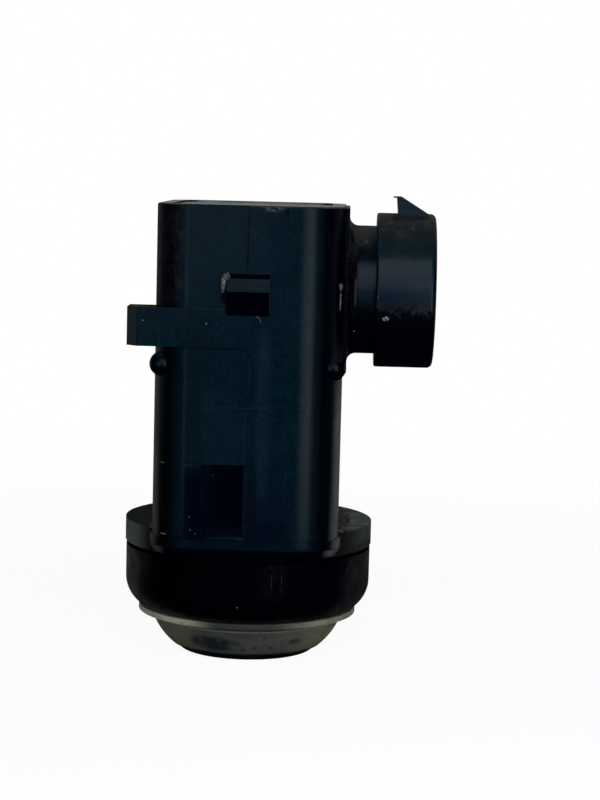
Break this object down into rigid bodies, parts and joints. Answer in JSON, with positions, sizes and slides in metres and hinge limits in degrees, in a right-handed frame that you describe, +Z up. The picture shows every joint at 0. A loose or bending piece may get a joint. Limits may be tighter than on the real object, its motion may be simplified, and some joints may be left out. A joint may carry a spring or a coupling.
{
  "type": "parking sensor",
  "caption": "Ultrasonic parking sensor: moulded box with a round sensing head in a silicone ring, a front latch and bar, and a round plug socket on its side.",
  "frame": {"origin": "centre of the sensing face, which the part stands on", "axes": "+Z up the sensing axis to the potted top, +X out of the plug socket, -Y the front with the latch"},
  "size_m": [0.0338, 0.0295, 0.0512],
  "materials": {
    "housing_plastic": "semi-matte moulded, scuffed",
    "ring_plastic": "fine matte moulded",
    "silicone": "translucent matte",
    "lacquered_cup": "black lacquer",
    "potting_resin": "cast resin",
    "piezo": "fired disc",
    "foam": "soft open foam",
    "wire_red": "insulation",
    "wire_white": "insulation",
    "board": "solder mask",
    "bobbin_plastic": "moulded",
    "copper": "enamelled wire",
    "ferrite": "sintered",
    "chip_plastic": "moulded",
    "can": "satin",
    "capacitor_body": "fired block",
    "resistor_body": "glazed block",
    "tinned": "tin plated"
  },
  "bodies": {
    "root": {"housing": "housing_plastic", "retaining_ring": "ring_plastic", "decoupling_ring": "silicone", "membrane_cup": "lacquered_cup", "piezo_disc": "piezo", "damping_pad": "foam", "lead_wire_front": "wire_red", "lead_wire_rear": "wire_white", "circuit_board": "board", "transformer_bobbin": "bobbin_plastic", "transformer_winding": "copper", "transformer_core_upper": "ferrite", "transformer_core_lower": "ferrite", "driver_chip": "chip_plastic", "buffer_capacitor": "can", "chip_capacitor_1": "capacitor_body", "chip_capacitor_2": "capacitor_body", "chip_capacitor_3": "capacitor_body", "chip_resistor_1": "resistor_body", "chip_resistor_2": "resistor_body", "chip_resistor_3": "resistor_body", "terminal_1": "tinned", "terminal_2": "tinned", "terminal_3": "tinned", "potting_fill": "potting_resin"}
  },
  "joints": []
}
